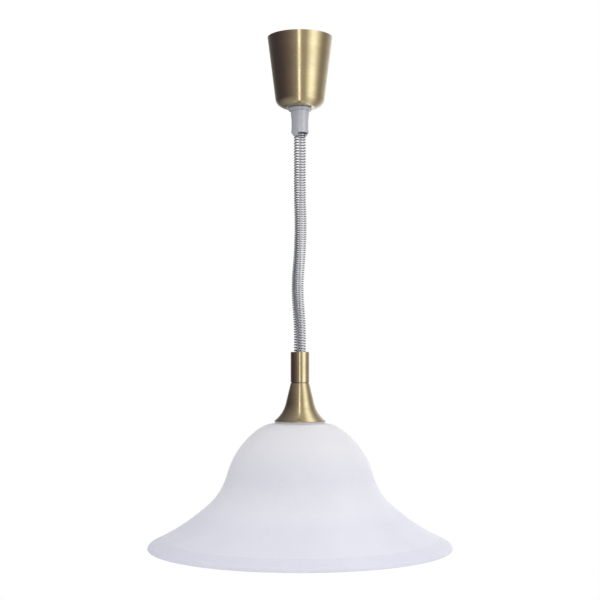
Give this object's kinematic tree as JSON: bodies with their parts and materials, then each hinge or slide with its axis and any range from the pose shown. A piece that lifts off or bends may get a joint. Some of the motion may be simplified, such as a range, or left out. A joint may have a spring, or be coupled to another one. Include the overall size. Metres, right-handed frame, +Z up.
{
  "type": "rise and fall pendant",
  "caption": "Rise and fall pendant: brass ceiling cup with a spring reel, coiled flex round a steel cord, brass tube and trumpet, and a flared opal glass shade.",
  "frame": {"origin": "centre of the bore of the ceiling eye that hangs on the hook, lamp raised", "axes": "+Z up along the hanging cord, +Y along the eye's bore and the reel's axle, -Y towards the viewer of the picture"},
  "size_m": [0.4012, 0.4012, 0.6829],
  "materials": {
    "brass_satin": "satin, warm antique",
    "brass_bare": "turned",
    "steel_zinc": "zinc plated",
    "steel_spring": "blued spring strip",
    "steel_cord": "stranded cord",
    "plastic_grey": "glossy moulded",
    "plastic_white": "moulded",
    "plastic_black": "moulded",
    "flex_silver": "silver-white sheath",
    "core_brown": "core insulation",
    "ceramic": "glazed ceramic",
    "fibre": "vulcanised fibre",
    "rubber_clear": "soft",
    "opal_glass": "opal, satin-gloss"
  },
  "bodies": {
    "reel_unit": {"ceiling_eye": "steel_zinc", "hanger_strap": "steel_zinc", "strap_screws": "steel_zinc", "reel_frame": "steel_zinc", "reel_axle": "steel_zinc", "axle_circlip": "steel_spring", "mainspring": "steel_spring", "thrust_washers": "steel_zinc", "brake_nut": "steel_zinc", "outlet_nozzle": "plastic_grey", "nozzle_nut": "plastic_white", "cord_guide": "plastic_white", "upper_flex": "flex_silver", "upper_cores": "core_brown", "terminal_plate": "steel_zinc", "plate_screws": "steel_zinc", "terminal_block": "plastic_white", "block_screws": "steel_zinc", "terminal_inserts": "brass_bare", "terminal_screws": "steel_zinc", "flex_saddle": "plastic_white", "saddle_screws": "steel_zinc", "curly_flex": "flex_silver", "suspension_cord": "steel_cord"},
    "reel_drum": {"drum": "plastic_white", "barrel_lid": "plastic_white", "cord_winding": "steel_cord", "cord_stop": "brass_bare"},
    "brake_screw": {"brake_screw": "steel_zinc"},
    "canopy": {"ceiling_cup": "brass_satin", "cup_bush": "plastic_grey", "cup_ring": "plastic_grey"},
    "lamp_head": {"brass_tube": "brass_satin", "tube_bush": "plastic_white", "cord_ferrule": "brass_bare", "tube_disc": "brass_bare", "seam_washer": "steel_zinc", "trumpet_cone": "brass_satin", "nipple": "brass_bare", "nipple_nuts": "steel_zinc", "cord_grip": "plastic_white", "grip_screw": "steel_zinc", "lower_flex": "flex_silver", "lower_cores": "core_brown", "lampholder_cap": "plastic_black", "lampholder_skirt": "plastic_black", "contact_carrier": "ceramic", "contact_blocks": "brass_bare", "holder_screws": "steel_zinc", "contact_tongue": "brass_bare", "screw_shell": "brass_bare", "upper_shade_ring": "plastic_black", "lower_shade_ring": "plastic_black", "ring_washer": "fibre", "shade_gasket": "rubber_clear", "glass_shade": "opal_glass"}
  },
  "joints": [
    {"name": "shade_travel", "type": "slide", "parent": "reel_unit", "child": "lamp_head", "axis": [0, 0, -1], "range_m": [0, 0.8], "deforming": ["curly_flex", "suspension_cord"]},
    {"name": "reel_spin", "type": "hinge", "parent": "reel_unit", "child": "reel_drum", "pos_m": [-0.0136, 0, -0.034], "axis": [0, 1, 0], "range_deg": [0, 3372]},
    {"name": "cup_slide", "type": "slide", "parent": "reel_unit", "child": "canopy", "axis": [0, 0, -1], "range_m": [0, 0.2]},
    {"name": "brake_turn", "type": "hinge", "parent": "reel_unit", "child": "brake_screw", "pos_m": [-0.00118, -0.0266, -0.02898], "axis": [0, -1, 0], "range_deg": [0, 720]}
  ],
  "couplings": [
    {"joint": "reel_spin", "follows": "shade_travel", "rad_per_m": 73.529}
  ]
}
